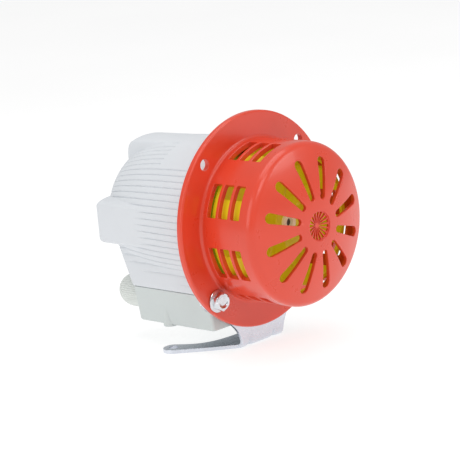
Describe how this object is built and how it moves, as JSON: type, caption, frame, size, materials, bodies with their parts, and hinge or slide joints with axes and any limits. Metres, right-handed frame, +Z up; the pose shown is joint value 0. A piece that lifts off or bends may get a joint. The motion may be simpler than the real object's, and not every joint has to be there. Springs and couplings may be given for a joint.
{
  "type": "alarm siren",
  "caption": "Motor-driven alarm siren with a slotted red horn housing, a ribbed grey motor housing, a terminal box and a steel foot bracket.",
  "frame": {"origin": "underside of the bracket foot, below the siren axis and 20 mm behind the flange's front face", "axes": "+Z up, +Y along the siren axis towards the motor end, -Y out of the sound grille, +X to the right as seen from the front"},
  "size_m": [0.16, 0.1804, 0.1745],
  "materials": {
    "red_plastic": "glossy injection-moulded red plastic",
    "grey_plastic": "fine-grained light grey moulded plastic",
    "box_plastic": "light grey moulded plastic with a greenish tint",
    "gland_plastic": "off-white nylon",
    "zinc_steel": "bright zinc-plated pressed steel",
    "bolt_steel": "bright plated steel fasteners",
    "yellow_plastic": "moulded yellow plastic rotor",
    "cream_plastic": "cream moulded bush",
    "dark_steel": "blackened steel shaft",
    "cast_aluminium": "plain die-cast aluminium",
    "core_steel": "varnished core laminations",
    "copper": "enamelled copper winding",
    "brass": "plain brass",
    "carbon": "pressed carbon",
    "rubber": "soft black seal rubber",
    "ivory_plastic": "ivory terminal block plastic"
  },
  "bodies": {
    "casing": {"front_housing": "red_plastic", "rear_housing": "grey_plastic", "terminal_box": "box_plastic", "box_gasket": "rubber", "box_screw_left": "bolt_steel", "box_screw_right": "bolt_steel", "housing_screw_top": "bolt_steel", "housing_screw_left": "bolt_steel", "housing_screw_right": "bolt_steel", "mounting_bracket": "zinc_steel", "flange_bolt_left": "bolt_steel", "flange_nut_left": "bolt_steel", "flange_bolt_right": "bolt_steel", "flange_nut_right": "bolt_steel", "gland_body": "gland_plastic", "gland_seal": "rubber", "gland_nut": "gland_plastic", "gland_locknut": "gland_plastic", "motor_plate": "zinc_steel", "motor_front_shield": "cast_aluminium", "motor_rear_shield": "cast_aluminium", "stator_core": "core_steel", "field_coil_top": "copper", "field_coil_bottom": "copper", "front_bearing_outer": "bolt_steel", "rear_bearing_outer": "bolt_steel", "brush_holder_top": "brass", "carbon_brush_top": "carbon", "brush_spring_top": "bolt_steel", "motor_through_bolt_left": "bolt_steel", "brush_holder_bottom": "brass", "carbon_brush_bottom": "carbon", "brush_spring_bottom": "bolt_steel", "motor_through_bolt_right": "bolt_steel", "terminal_block": "ivory_plastic", "terminal_screw_1": "brass", "terminal_screw_2": "brass", "terminal_screw_3": "brass", "earth_screw": "brass", "suppression_capacitor": "ivory_plastic"},
    "rotor": {"siren_rotor": "yellow_plastic", "hub_bush": "cream_plastic", "motor_shaft": "dark_steel", "armature_core": "core_steel", "armature_winding": "copper", "commutator": "copper", "front_bearing_inner": "bolt_steel", "rear_bearing_inner": "bolt_steel"}
  },
  "joints": [
    {"name": "rotor_spin", "type": "hinge", "parent": "casing", "child": "rotor", "pos_m": [0, 0, 0.0945], "axis": [0, 1, 0], "continuous": true}
  ]
}
